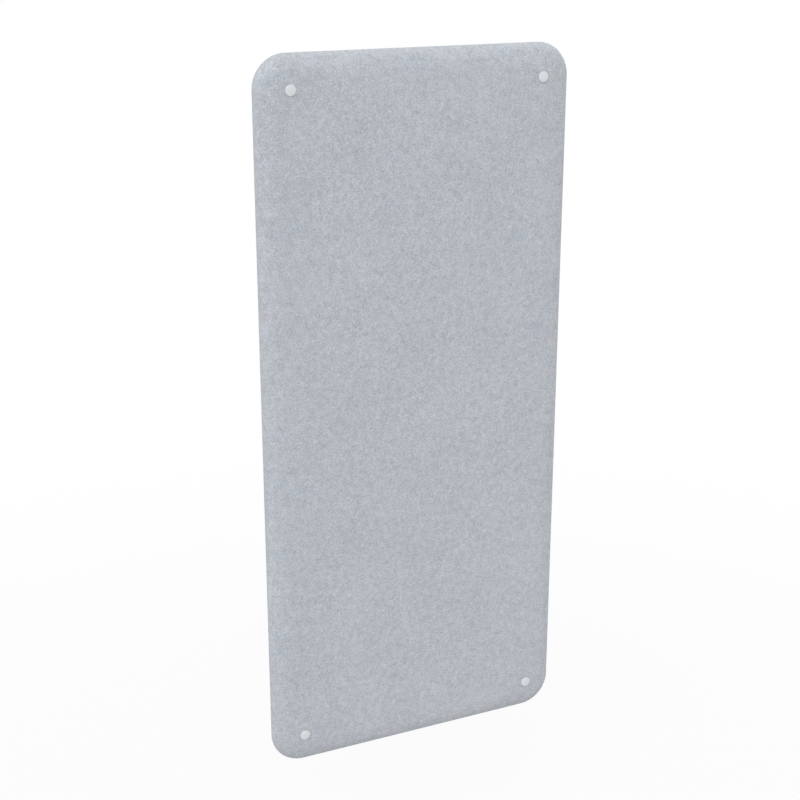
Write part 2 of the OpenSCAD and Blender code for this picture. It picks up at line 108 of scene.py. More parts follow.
# The zip in the bottom edge: places along it, in from the edge, and to the sides of the seam
BOTTOM = -PANEL_H / 2
TAPE_END, TEETH_END = tape_high[0], teeth_high[0]
ZIP_DEPTH, TAPE_T = between(BOTTOM, tape_low[1]), between(tape_low[1], tape_high[1])
TAPE_INNER, TAPE_OUTER = between(MID_Z, tape_low[2]), round(tape_high[2] - MID_Z, 2)
TEETH_DEEP, TEETH_SIDE = between(teeth_low[1], teeth_high[1]), between(MID_Z, teeth_high[2])
SLIDER_X = (slider_low[0] + slider_high[0]) / 2
SLIDER_OUTSIDE, SLIDER_INSIDE = between(BOTTOM, slider_low[1]), between(BOTTOM, slider_high[1])
SLIDER_HALF_L, SLIDER_HALF_W = between(SLIDER_X, slider_high[0]), between(MID_Z, slider_high[2])
SLOT_GAP = 0.5
SLOT_END, SLOT_HALF = TAPE_END + SLOT_GAP, SLIDER_HALF_W + SLOT_GAP


def smooth(t):
    """An S-shaped rise from 0 to 1."""
    t = min(max(t, 0.0), 1.0)
    return t * t * (3 - 2 * t)


# Materials


def linear(*levels):
    """A colour given in 0 to 255 levels, as the shader takes it."""
    shares = (c / 255 for c in levels)
    return tuple(c / 12.92 if c <= 0.04045 else ((c + 0.055) / 1.055) ** 2.4 for c in shares) + (1.0,)


def add_node(tree, kind, inputs=(), **settings):
    """A new node of a tree. Each of its inputs gets a value, or a link from another node's output."""
    made = tree.nodes.new(kind)
    for key, value in settings.items():
        setattr(made, key, value)
    for key, value in dict(inputs).items():
        if isinstance(value, bpy.types.NodeSocket):
            tree.links.new(value, made.inputs[key])
        else:
            made.inputs[key].default_value = value
    return made


class Surface:
    """A Principled material whose colour, roughness and bump come from procedural nodes."""

    def __init__(self, name, **sockets):
        self.material = bpy.data.materials.new(name)
        self.material.use_nodes = True
        self.tree = self.material.node_tree
        self.shader = self.tree.nodes["Principled BSDF"]
        for socket, value in sockets.items():
            self.shader.inputs[socket.replace("_", " ")].default_value = value
        self.where = self.node("ShaderNodeTexCoord").outputs["Object"]

    def node(self, kind, inputs=(), **settings):
        return add_node(self.tree, kind, inputs, **settings)

    def stretched(self, longer=(1, 1, 1), turn=(0, 0, 0), where=None):
        """The place turned by degrees and then divided, so that features grow longer along an axis."""
        inputs = {"Vector": where or self.where, "Scale": longer, "Rotation": [math.radians(a) for a in turn]}
        return self.node("ShaderNodeMapping", inputs, vector_type="TEXTURE").outputs["Vector"]

    def warped(self, size, amount):
        """The place pushed about by noise of a size in mm, by an amount in mm."""
        push = self.node("ShaderNodeTexNoise", {"Vector": self.where, "Scale": 1000 / size, "Detail": 1.0})
        centred = self.vector_maths("ADD", {0: push.outputs["Color"], 1: (-0.5, -0.5, -0.5)})
        scaled = self.vector_maths("SCALE", {0: centred, "Scale": amount / 500})
        return self.vector_maths("ADD", {0: self.where, 1: scaled})

    def noise(self, size, detail=2.0, rough=0.5, where=None, distortion=0.0):
        """Noise between 0 and 1 with features of a size in mm."""
        inputs = {
            "Vector": where or self.where, "Scale": 1000 / size, "Detail": detail, "Roughness": rough,
            "Distortion": distortion,
        }
        return self.node("ShaderNodeTexNoise", inputs).outputs["Fac"]

    def scraps(self, size, amount, per_metre):
        """Flat patches of random shade, so many to a metre, with edges that noise pushes about."""
        inputs = {"Vector": self.warped(size, amount), "Scale": per_metre}
        return self.node("ShaderNodeTexVoronoi", inputs).outputs["Color"]

    def waves(self, value, pitch):
        """A sine of a length in metres, with a pitch in mm."""
        return self.maths("SINE", self.maths("MULTIPLY", value, 2 * math.pi / (pitch / 1000)))

    def maths(self, operation, a, b=0.0, c=0.0):
        return self.node("ShaderNodeMath", {0: a, 1: b, 2: c}, operation=operation).outputs[0]

    def vector_maths(self, operation, inputs):
        return self.node("ShaderNodeVectorMath", inputs, operation=operation).outputs[0]

    def span(self, value, low, high, to_low=0.0, to_high=1.0):
        inputs = {"Value": value, "From Min": low, "From Max": high, "To Min": to_low, "To Max": to_high}
        return self.node("ShaderNodeMapRange", inputs).outputs["Result"]

    def total(self, *parts):
        """The sum of (value, weight) pairs."""
        out = 0.0
        for value, weight in parts:
            out = self.maths("MULTIPLY_ADD", value, weight, out)
        return out

    def colours(self, fac, *stops):
        """A colour ramp of (position, colour) stops."""
        ramp = self.node("ShaderNodeValToRGB", {"Fac": fac})
        band = ramp.color_ramp
        while len(band.elements) < len(stops):
            band.elements.new(0.5)
        for element, (position, colour) in zip(band.elements, stops):
            element.position = position
            element.color = colour
        return ramp.outputs["Color"]

    def wire(self, colour, rough, *bumps):
        """Links the colour and the roughness, and chains bumps of (height, distance in mm)."""
        self.tree.links.new(colour, self.shader.inputs["Base Color"])
        self.tree.links.new(rough, self.shader.inputs["Roughness"])
        under = {}
        for height, distance in bumps:
            inputs = {"Height": height, "Distance": distance / 1000, "Strength": 1.0, **under}
            under = {"Normal": self.node("ShaderNodeBump", inputs).outputs["Normal"]}
        self.tree.links.new(under["Normal"], self.shader.inputs["Normal"])
        return self.material


def fibres(s, *layers):
    """Thin curved fibres: noise stretched along several directions over warped places, averaged."""
    bent = s.warped(9, 2.2)
    parts = []
    for size, turn in layers:
        parts.append((s.noise(size, 1.0, 0.5, s.stretched((1, 1, 9), turn, bent)), 1 / len(layers)))
    return s.total(*parts)


def strand(s, size, turn, where, width):
    """Thin lines that wander along one direction: where stretched noise passes its middle value."""
    line = s.noise(size, 0.0, 0.5, s.stretched((1, 1, 16), turn, where))
    off = s.maths("ABSOLUTE", s.maths("SUBTRACT", line, 0.5))
    return s.span(off, 0.0, width, 1.0, 0.0)


def felt_material(name, dark, light):
    """Melange felt: light and dark fibres matted in all directions, in specks and small clouds."""
    s = Surface(name, Specular_IOR_Level=0.12, Sheen_Weight=0.10, Sheen_Roughness=0.6)
    speckle = s.noise(3.3, 2.0, 0.6, distortion=0.4)
    fleck = s.noise(1.2, 1.0, 0.5)
    tuft = s.noise(6.5, 1.0, 0.5)
    mottle = s.noise(14, 2.0, 0.5)
    cloud = s.noise(120, 2.0, 0.5)
    bent = s.warped(12, 2.2)
    pale = [strand(s, 0.55, (0, a, b), bent, 0.07) for a, b in ((15, 0), (78, 6), (140, -5))]
    deep = [strand(s, 0.55, (4, a, b), bent, 0.10) for a, b in ((48, 0), (105, -6), (170, 5))]
    mixed = s.total(
        (speckle, 1.06), (fleck, 0.66), (tuft, 0.14), (mottle, 0.44), (cloud, 0.15),
        *[(p, 0.24) for p in pale], *[(d, -0.17) for d in deep],
    )
    middle, reach = 1.222, 0.46
    plain = s.colours(s.span(mixed, middle - reach, middle + reach), (0.0, dark), (1.0, light))
    dyed = s.span(s.total((s.noise(34, 2.0, 0.5), 0.7), (speckle, 0.3)), 0.38, 0.62)
    tint = s.colours(dyed, (0.0, (1.012, 1.0, 0.985, 1.0)), (1.0, (0.988, 1.0, 1.015, 1.0)))
    tinted = s.node(
        "ShaderNodeMix", {0: 1.0, 6: plain, 7: tint}, data_type="RGBA", blend_type="MULTIPLY"
    ).outputs[2]
    rough = s.span(speckle, 0.3, 0.7, 0.88, 1.0)
    nap = s.total(*[(p, 1.0) for p in pale], *[(d, 0.6) for d in deep])
    return s.wire(tinted, rough, (mottle, 0.22), (speckle, 0.18), (nap, 0.05), (fleck, 0.06))


def wadding_material():
    """Off-white polyester wadding: fluffy tufts of fine hair."""
    s = Surface("wadding", Specular_IOR_Level=0.1, Sheen_Weight=0.3, Sheen_Roughness=0.5)
    hair = fibres(s, (1.0, (0, 10, 0)), (0.8, (0, 80, 15)), (1.2, (20, 130, 0)))
    tuft = s.noise(18, 3.0, 0.55)
    mixed = s.total((hair, 0.6), (tuft, 0.4))
    colour = s.colours(mixed, (0.3, linear(214, 211, 203)), (0.7, linear(243, 241, 236)))
    return s.wire(colour, s.span(hair, 0.3, 0.7, 0.85, 1.0), (tuft, 2.0), (hair, 0.8))


def fibreboard_material():
    """A slab of matted grey fibres and scraps of recycled cloth."""
    s = Surface("absorber_fibre", Specular_IOR_Level=0.15, Sheen_Weight=0.15, Sheen_Roughness=0.5)
    hair = fibres(s, (1.4, (0, 0, 0)), (1.1, (0, 60, 10)), (1.6, (15, 120, 0)))
    fleck = s.noise(3, 2.0, 0.6)
    shade = s.total((hair, 0.5), (fleck, 0.3), (s.scraps(6, 3, 170.0), 0.2))
    stops = ((0.3, linear(78, 84, 92)), (0.5, linear(112, 117, 124)), (0.72, linear(160, 163, 166)))
    return s.wire(s.colours(shade, *stops), s.span(fleck, 0.3, 0.7, 0.85, 1.0), (fleck, 0.8), (hair, 0.6))


def wood_material(name, along, pale, dark, ring=16):
    """Planed wood with its grain along one axis of the row's frame, and year rings of a size in mm."""
    s = Surface(name, Specular_IOR_Level=0.35)

    def drawn_out(times):
        return s.stretched([times if axis == along else 1.0 for axis in range(3)])

    board = s.noise(ring, 2.0, 0.5, drawn_out(20.0), 1.2)
    line = s.noise(1.1, 3.0, 0.6, drawn_out(50.0))
    pore = s.noise(0.45, 1.0, 0.5, drawn_out(12.0))
    rings = s.maths("PINGPONG", s.maths("MULTIPLY", board, 5.0), 0.5)
    mixed = s.total((rings, 0.7), (line, 0.55), (pore, 0.15))
    colour = s.colours(mixed, (0.25, pale), (0.75, dark))
    return s.wire(colour, s.span(line, 0.3, 0.7, 0.5, 0.72), (line, 0.12), (pore, 0.06))


def hardboard_material():
    """Smooth brown board of pressed fibres."""
    s = Surface("hardboard", Specular_IOR_Level=0.35)
    hair = fibres(s, (1.2, (0, 0, 0)), (0.9, (0, 70, 0)), (1.4, (0, 130, 10)))
    cloud = s.noise(60, 3.0, 0.5)
    mixed = s.total((hair, 0.7), (cloud, 0.3))
    colour = s.colours(mixed, (0.3, linear(104, 76, 52)), (0.7, linear(146, 112, 80)))
    return s.wire(colour, s.span(hair, 0.3, 0.7, 0.42, 0.6), (hair, 0.10))


def plastic_material(name, colour, rough=0.42):
    """Moulded plastic with a fine spark-eroded skin and slight flow variation."""
    s = Surface(name, Specular_IOR_Level=0.45)
    skin = s.noise(0.35, 2.0, 0.6)
    flow = s.noise(9, 2.0, 0.5)
    low = tuple(c * 0.965 for c in colour[:3]) + (1.0,)
    shade = s.colours(s.total((flow, 0.7), (skin, 0.3)), (0.3, low), (0.7, colour))
    return s.wire(shade, s.span(skin, 0.3, 0.7, rough - 0.05, rough + 0.07), (skin, 0.012), (flow, 0.03))


def zinc_material():
    """Bright zinc plating, slightly hazy, with fine crystals and scratches."""
    s = Surface("zinc_plate", Metallic=1.0)
    haze = s.noise(4, 3.0, 0.6)
    scratch = s.noise(0.2, 2.0, 0.6, s.stretched((1, 12, 1), (0, 30, 20)))
    mixed = s.total((haze, 0.6), (s.scraps(2, 0.5, 900.0), 0.2), (scratch, 0.2))
    colour = s.colours(mixed, (0.3, linear(172, 176, 184)), (0.7, linear(214, 217, 222)))
    return s.wire(colour, s.span(mixed, 0.3, 0.7, 0.24, 0.42), (scratch, 0.004))


def nickel_material():
    """A nickel-coloured casting, a little worn."""
    s = Surface("nickel_casting", Metallic=1.0)
    grain = s.noise(0.5, 3.0, 0.6)
    wear = s.noise(3, 2.0, 0.5)
    colour = s.colours(wear, (0.3, linear(150, 151, 155)), (0.7, linear(196, 197, 200)))
    return s.wire(colour, s.span(grain, 0.3, 0.7, 0.28, 0.48), (grain, 0.02))


def tape_material():
    """Woven polyester tape: warp ribs along x, crossed by fine wefts."""
    s = Surface("zip_weave", Specular_IOR_Level=0.2, Sheen_Weight=0.2, Sheen_Roughness=0.4)
    axes = s.node("ShaderNodeSeparateXYZ", {0: s.where}).outputs
    ribs = s.waves(axes["Y"], 0.7)
    over = s.maths("MULTIPLY", ribs, s.waves(axes["X"], 0.6))
    fluff = s.noise(0.5, 2.0, 0.6)
    mixed = s.total((over, 0.22), (ribs, 0.10), (fluff, 0.5))
    colour = s.colours(mixed, (0.0, linear(104, 108, 114)), (0.5, linear(150, 154, 160)))
    return s.wire(colour, s.span(fluff, 0.3, 0.7, 0.75, 0.95), (over, 0.06), (ribs, 0.05), (fluff, 0.05))


def thread_material():
    """Twisted sewing thread."""
    s = Surface("thread", Specular_IOR_Level=0.3, Sheen_Weight=0.2, Sheen_Roughness=0.4)
    axes = s.node("ShaderNodeSeparateXYZ", {0: s.where}).outputs
    twist = s.waves(s.maths("ADD", axes["X"], s.maths("MULTIPLY", axes["Y"], 1.6)), 0.6)
    fluff = s.noise(0.3, 2.0, 0.6)
    mixed = s.total((twist, 0.2), (fluff, 0.6))
    colour = s.colours(mixed, (0.1, linear(168, 172, 178)), (0.6, linear(214, 217, 221)))
    return s.wire(colour, s.span(fluff, 0.3, 0.7, 0.55, 0.8), (twist, 0.04), (fluff, 0.02))


PINE = linear(226, 197, 150), linear(192, 152, 102)
FELT = felt_material("felt_melange", linear(145.5, 151, 160), linear(211.5, 215, 220.5))
WADDING = wadding_material()
FIBRE = fibreboard_material()
PINE_X = wood_material("pine_x", 0, *PINE)
PINE_Z = wood_material("pine_z", 2, *PINE)
BEECH = wood_material("beech", 0, linear(206, 166, 118), linear(168, 124, 82), 9)
HARDBOARD = hardboard_material()
CAP_PLASTIC = plastic_material("cap_plastic", linear(214.3, 216.8, 220))
SOCKET_PLASTIC = plastic_material("socket_plastic", linear(211, 213.5, 216), 0.48)
BUSH_PLASTIC = plastic_material("bush_plastic", linear(205, 207, 208.5), 0.5)
COIL_PLASTIC = plastic_material("coil_plastic", linear(124, 128, 134), 0.38)
ZINC = zinc_material()
NICKEL = nickel_material()
WEAVE = tape_material()
THREAD = thread_material()

# Mesh tools


class Shape:
    """Points and faces of one piece, in the lying frame and in mm."""

    def __init__(self):
        self.points = []
        self.faces = []

    def add(self, points):
        """Adds points and gives back their numbers, as a loop."""
        start = len(self.points)
        self.points.extend(points)
        return list(range(start, len(self.points)))

    def bridge(self, a, b, closed=True):
        """Quads between two loops of the same length."""
        for i in range(len(a) if closed else len(a) - 1):
            j = (i + 1) % len(a)
            self.faces.append((a[i], a[j], b[j], b[i]))

    def fill(self, loop):
        self.faces.append(tuple(loop))

    def skin(self, loops):
        """Quads from each loop to the next, with the first and the last loop filled."""
        for a, b in zip(loops, loops[1:]):
            self.bridge(a, b)
        self.fill(loops[0][::-1])
        self.fill(loops[-1])
        return self

    def join(self, other, move=lambda p: p):
        start = len(self.points)
        self.points.extend(move(p) for p in other.points)
        self.faces.extend(tuple(i + start for i in f) for f in other.faces)


def make(name, shape, material, body="panel", nodes=(), sharp=35, weld=True):
    """Makes a piece, lets it ride on its body and hides the CAD nodes it stands for."""
    mesh = bpy.data.meshes.new(name)
    mesh.from_pydata([place(p) for p in shape.points], [], shape.faces)
    bm = bmesh.new()
    bm.from_mesh(mesh)
    if weld:
        bmesh.ops.remove_doubles(bm, verts=bm.verts, dist=2e-6)
    bmesh.ops.recalc_face_normals(bm, faces=bm.faces)
    bm.to_mesh(mesh)
    bm.free()
    mesh.polygons.foreach_set("use_smooth", [True] * len(mesh.polygons))
    mesh.set_sharp_from_angle(angle=math.radians(sharp))
    mesh.materials.append(material)
    piece = bpy.data.objects.new(name, mesh)
    bpy.context.scene.collection.objects.link(piece)
    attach(piece, body)
    if nodes:
        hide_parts(*nodes)
    return piece


def circle(r, count, at=(0.0, 0.0), shift=0.0):
    """Points round a circle, the first one a share of a step on from the x axis."""
    angles = [2 * math.pi * (k + shift) / count for k in range(count)]
    return [(at[0] + r * math.cos(a), at[1] + r * math.sin(a)) for a in angles]


def rounded_outline(corners, steps=4):
    """A closed outline from (x, y, radius) corners, with each corner rounded."""
    out = []
    count = len(corners)
    for i, (x, y, r) in enumerate(corners):
        if r <= 0:
            out.append((x, y))
            continue
        here = Vector((x, y))
        before = (Vector(corners[i - 1][:2]) - here).normalized()
        after = (Vector(corners[(i + 1) % count][:2]) - here).normalized()
        half = before.angle(after) / 2
        centre = here + (before + after).normalized() * (r / math.sin(half))
        start = here + before * (r / math.tan(half)) - centre
        end = here + after * (r / math.tan(half)) - centre
        turn = start.angle_signed(end)
        for k in range(steps + 1):
            a = -turn * k / steps
            out.append((
                centre.x + start.x * math.cos(a) - start.y * math.sin(a),
                centre.y + start.x * math.sin(a) + start.y * math.cos(a),
            ))
    return out


def turned(profile, at=(0, 0), segments=48, start=0.0, angle=360.0):
    """A closed (radius, z) profile turned about an axis along z; part of a turn gets flat ends."""
    shape = Shape()
    whole = angle >= 360
    count = segments if whole else segments + 1
    rings = []
    for i in range(count):
        a = math.radians(start + angle * i / segments)
        rings.append(shape.add([(at[0] + r * math.cos(a), at[1] + r * math.sin(a), z) for r, z in profile]))
    for i in range(segments):
        shape.bridge(rings[i], rings[(i + 1) % count])
    if not whole:
        shape.fill(rings[0][::-1])
        shape.fill(rings[-1])
    return shape


def eased_ends(low, high, r):
    """(place, drawn in) pairs from one end of a plate or a bar to the other, with its edges rounded over."""
    edge = [(0.0, r), (0.3 * r, 0.3 * r), (r, 0.0)]
    return [(low + a, inward) for a, inward in edge] + [(high - a, inward) for a, inward in reversed(edge)]


def rounded_plate(outline, low, high, r):
    """A plate along z with its outline's edges rounded over."""
    shape = Shape()
    middle = Vector((sum(p[0] for p in outline), sum(p[1] for p in outline))) / len(outline)
    loops = []
    for z, inward in eased_ends(low, high, r):
        loop = []
        for p in outline:
            out = Vector(p) - middle
            share = (out.length - inward) / out.length
            loop.append((middle.x + out.x * share, middle.y + out.y * share, z))
        loops.append(shape.add(loop))
    return shape.skin(loops)


def rounded_box(low, high, r):
    """A box with its edges rounded, as six rings along x."""
    (x0, y0, z0), (x1, y1, z1) = low, high
    shape = Shape()
    outline = rounded_outline([(y0, z0, r), (y1, z0, r), (y1, z1, r), (y0, z1, r)], 3)
    cy, cz = (y0 + y1) / 2, (z0 + z1) / 2
    loops = []
    for x, inward in eased_ends(x0, x1, r):
        sy, sz = 1 - inward / (y1 - cy), 1 - inward / (z1 - cz)
        loops.append(shape.add([(x, cy + (y - cy) * sy, cz + (z - cz) * sz) for y, z in outline]))
    return shape.skin(loops)


# Panel outline

# How long the zip's slot takes to open from nothing to its whole width
SLOT_CLOSE = 8.3


def rim_inward(height):
    """How far in from the edge the rim is at a height over the middle plane."""
    share = min(max(height, 0.0) / HALF_T, 1.0)
    return RIM_D * (1 - (1 - share ** RIM_POWER) ** (1 / RIM_POWER))


def rim_points(margin, lowest, count):
    """(inward, height) points up the rim, a margin inside it, from a lowest height to the flat face."""
    depth, half_t = RIM_D - margin, HALF_T - margin
    first = math.asin((lowest / half_t) ** (RIM_POWER / 2))
    out = []
    for i in range(count + 1):
        a = first + (math.pi / 2 - first) * i / count
        across = max(math.cos(a), 0.0) ** (2 / RIM_POWER)
        out.append((margin + depth * (1 - across), half_t * math.sin(a) ** (2 / RIM_POWER)))
    return out


def steps_between(a, b, step):
    """Even steps of about a size from a to b, both of them included."""
    count = max(round(abs(b - a) / step), 1)
    return [a + (b - a) * i / count for i in range(count)] + [b]


def bottom_places(w):
    """Places from left to right along the bottom edge, closer together where the slot closes."""
    past_slot_end = (20.5, 11.5, 4.5, 0, -1.3, -2.7, -4.3, -5.9, -7.3, -SLOT_CLOSE, -10.5, -16.5, -24.5)
    right = [w] + [SLOT_END + past for past in past_slot_end]
    return [-x for x in right[:-1]] + steps_between(-right[-1], right[-1], 7) + right[-2::-1]


def slot_share(x, y):
    """How far the zip's slot is open at a place of the outline, from 0 to 1."""
    return smooth((SLOT_END - abs(x)) / SLOT_CLOSE) if y < 0 else 0.0


def stations():
    """(point, outward direction) round the outline; at a corner the point is the arc's centre."""
    w, h = PANEL_W / 2 - CORNER_R, PANEL_H / 2 - CORNER_R
    run_step, arc_steps = 11, 18
    up = steps_between(-h, h, run_step)
    left = steps_between(w, -w, run_step)
    right_side, top_side = [(w, y) for y in up], [(x, h) for x in left]
    left_side, bottom_side = [(-w, -y) for y in up], [(x, -h) for x in bottom_places(w)]
    out = []
    for quarter, points in enumerate((right_side, top_side, left_side, bottom_side)):
        square = math.radians(90 * quarter)
        out += [(p, (math.cos(square), math.sin(square))) for p in points]
        for i in range(1, arc_steps):
            a = math.radians(90 * (quarter + i / arc_steps))
            out.append((points[-1], (math.cos(a), math.sin(a))))
    return out


# Stuffed halves


def fixing_distance(x, y):
    """How far a place on the face is from the axis of the nearest fixing."""
    return math.hypot(abs(x) - FIX_X, abs(y) - FIX_Y)


def uneven(x, y, size, seed):
    """Smooth noise between about -1 and 1 with waves of a size in mm."""
    return noise.noise(Vector((x / size, y / size, seed)))


def loft(x, y, face):
    """How far the stuffed face stands proud of its plain form: crowned, a little uneven, tied down at the
    fixings."""
    crown_height, crown_start, crown_run, tie_r = 0.5, 20, 120, 26
    inset = min(PANEL_W / 2 - abs(x), PANEL_H / 2 - abs(y))
    crown = crown_height * smooth((inset - crown_start) / crown_run)
    tied = math.exp(-((fixing_distance(x, y) / tie_r) ** 2))
    waves = 0.22 * uneven(x, y, 95, 3.7 * face) + 0.09 * uneven(x, y, 33, 9.1 * face)
    return (crown + waves) * (1 - tied)


def seam_stray(x, y, height, open_share):
    """How far the sewn seam strays from the middle of the edge: not at all along the zip, or high up."""
    most, wave, straight_past_slot, fade_in, fade_height = 0.35, 70, 11.5, 30, 9
    clear_of_zip = smooth((abs(x) - SLOT_END - straight_past_slot) / fade_in) if y < 0 else 1.0
    kept = clear_of_zip * (1 - open_share) * (1 - smooth(height / fade_height))
    return most * uneven(x, y, wave, 20.0) * kept


HOLE_STEPS = 36


def flat_region(loop, shape, height, sign, fine):
    """Fills the flat face inside a boundary loop with triangles, around the four fixing holes."""
    rings_wider, clear_r, clear_edge = (0.0, 1.5, 3.5, 5.5), 16, 0.35 * fine
    verts = [Vector(p) for p in loop]
    edges = [(i, (i + 1) % len(loop)) for i in range(len(loop))]
    for side, level in CORNERS.values():
        at = side * FIX_X, level * FIX_Y
        first = len(verts)
        edges += [(first + k, first + (k + 1) % HOLE_STEPS) for k in range(HOLE_STEPS)]
        for ring, wider in enumerate(rings_wider):
            verts += [Vector(p) for p in circle(HOLE_R + wider, HOLE_STEPS, at, 0.5 * (ring % 2))]
    w, h = PANEL_W / 2 - RIM_D, PANEL_H / 2 - RIM_D
    nx, ny = round(2 * w / fine), round(2 * h / fine)
    for i in range(1, nx):
        for j in range(1, ny):
            x = -w + 2 * w * (i + (0.25 if j % 2 else -0.25)) / nx
            y = -h + 2 * h * j / ny
            if min(w - abs(x), h - abs(y)) > clear_edge and fixing_distance(x, y) > clear_r:
                verts.append(Vector((x, y)))
    out, _, faces, _, _, _ = delaunay_2d_cdt(verts, edges, [], 1, 1e-5)
    index = shape.add([(p.x, p.y, height(p.x, p.y)) for p in out])
    for f in faces:
        cx = sum(out[i].x for i in f) / len(f)
        cy = sum(out[i].y for i in f) / len(f)
        if fixing_distance(cx, cy) > HOLE_R - 0.05:
            shape.fill(index[i] for i in (f if sign > 0 else reversed(f)))


def section_ring(centre, outward, face, path, share):
    """A half's section at a station, lifted square to its own curve, and straight up at its inner end."""
    loft_from, loft_run = 5, 14
    (cx, cy), (nx, ny) = centre, outward
    open_share = slot_share(cx, cy)
    points = path(open_share)
    last = len(points) - 1
    ring = []
    for k, (inward, height) in enumerate(points):
        reach = CORNER_R - inward
        (d0, h0), (d1, h1) = points[max(k - 1, 0)], points[min(k + 1, last)]
        run, rise = (1.0, 0.0) if k == last else (d1 - d0, h1 - h0)
        size = math.hypot(run, rise) or 1.0
        lift = share * loft(cx + nx * reach, cy + ny * reach, face) * smooth((height - loft_from) / loft_run)
        reach += lift * rise / size
        stray = seam_stray(cx + nx * CORNER_R, cy + ny * CORNER_R, height, open_share)
        ring.append((cx + nx * reach, cy + ny * reach, MID_Z + stray + face * (height + lift * run / size)))
    return ring


def stuffed_half(face, outer_path, inner_path, flat_out, flat_in, fine, under_share):
    """One half of a cover or pad: face is 1 for the front half and -1 for the rear one.

    under_share is how far the inside follows the loft of the outside: wholly on cloth, not at all on a pad
    that lies on the flat frame.
    """
    shape = Shape()
    outer, inner = [], []
    border_out, border_in = [], []
    for centre, outward in stations():
        for path, share, rings, border in (
            (outer_path, 1.0, outer, border_out), (inner_path, under_share, inner, border_in)
        ):
            ring = section_ring(centre, outward, face, path, share)
            rings.append(shape.add(ring))
            border.append(ring[-1][:2])
    for i in range(len(outer)):
        j = (i + 1) % len(outer)
        shape.bridge(outer[i], outer[j], closed=False)
        shape.bridge(inner[j], inner[i], closed=False)
        shape.fill((inner[i][0], inner[j][0], outer[j][0], outer[i][0]))

    def top(x, y):
        return MID_Z + face * (flat_out + loft(x, y, face))

    def under(x, y):
        return MID_Z + face * (flat_in + under_share * loft(x, y, face))

    flat_region(border_out, shape, top, face, fine)
    flat_region(border_in, shape, under, -face, fine)
    for side, level in CORNERS.values():
        hole = circle(HOLE_R, HOLE_STEPS, (side * FIX_X, level * FIX_Y))
        upper = shape.add([(x, y, top(x, y)) for x, y in hole])
        lower = shape.add([(x, y, under(x, y)) for x, y in hole])
        shape.bridge(upper, lower)
    return shape


# Covers and pads

# The cover's cloth, seam allowance and folded edge, half the gap at the seam, and the lip along the slot
COVER_T, SEAM_W, FOLD_R, SEAM_GAP, SLOT_LIP = 1.5, 8.0, 0.6, 0.03, 1.3
# The room a pad leaves at its sides, inside the cover, and over the middle plane and the frame
PAD_GAP, PAD_LIFT = 0.3, 0.1
PAD_MARGIN = COVER_T + PAD_GAP + 0.15


def cover_edge(open_share):
    """(inward, height) of a cover's turned-in edge: narrow and apart along the zip's slot."""
    low = SEAM_GAP + (SLOT_HALF - SEAM_GAP) * open_share
    return SEAM_W + (rim_inward(low + FOLD_R) + SLOT_LIP - SEAM_W) * open_share, low


def cover_outer(open_share):
    """The outside of a cover's section: seam allowance, folded edge, round rim."""
    lip, low = cover_edge(open_share)
    start = rim_inward(low + FOLD_R)
    points = [(lip, low), ((lip + start + FOLD_R) / 2, low)]
    for k in range(5):
        a = math.pi / 2 * k / 4
        points.append((start + FOLD_R * (1 - math.sin(a)), low + FOLD_R * (1 - math.cos(a))))
    return points + rim_points(0.0, low + FOLD_R, 26)[1:]


def cover_inner(open_share):
    """The inside of a cover's section, from the seam allowance up to the flat face."""
    lip, low = cover_edge(open_share)
    high = max(COVER_T, low + 0.5)
    curve = rim_points(COVER_T, high, 12)
    return [(max(lip, curve[0][0] + 0.02), high)] + curve


def pad_outer(open_share):
    """The outside of a pad's section, which keeps clear of the seam allowance and of the zip's tapes."""
    edge = SEAM_W + PAD_GAP
    points = [(edge, PAD_LIFT), (edge, PAD_MARGIN)] + rim_points(PAD_MARGIN, PAD_MARGIN, 18)
    room, tape_top = 6.5 * open_share, TAPE_OUTER + 0.6
    return [(max(d, room) if h < tape_top else d, h) for d, h in points]


def pad_inner(open_share):
    """The inside of a pad's section, round the frame's edge and on to its face, the same along the slot."""
    edge, top = FRAME_INSET - PAD_GAP, FRAME_HALF_T + PAD_LIFT
    return [(edge, PAD_LIFT), (edge, FRAME_HALF_T / 2), (edge + 0.5, top), (RIM_D, top)]


def make_soft():
    for face, word in ((1, "front"), (-1, "rear")):
        cover_shape = stuffed_half(face, cover_outer, cover_inner, HALF_T, HALF_T - COVER_T, 12, 1.0)
        cover = make(f"{word}_felt_cover", cover_shape, FELT, nodes=[f"{word}_cover"], sharp=60)
        flat_out, flat_in = HALF_T - PAD_MARGIN, FRAME_HALF_T + PAD_LIFT
        pad_shape = stuffed_half(face, pad_outer, pad_inner, flat_out, flat_in, 22, 0.0)
        pad = make(f"{word}_wadding_pad", pad_shape, WADDING, nodes=[f"{word}_pad"], sharp=60)


make_soft()

# Caps and fixings


def stem_legs(at, low, high):
    """The four legs of a cap's slotted stem, with chamfered tips."""
    inner, outer, slot, chamfer_in, chamfer_up = 4.7, 6.1, 1.6, 0.45, 1.1
    shape = Shape()
    profile = rounded_outline([
        (inner, low, 0.2), (outer - chamfer_in, low, 0.1), (outer, low + chamfer_up, 0.3), (outer, high, 0.0),
        (inner, high, 0.0),
    ], 3)
    clear = math.degrees(math.asin(slot / 2 / outer))
    for turn in range(4):
        shape.join(turned(profile, at, 12, 90 * turn + clear, 90 - 2 * clear))
    return shape


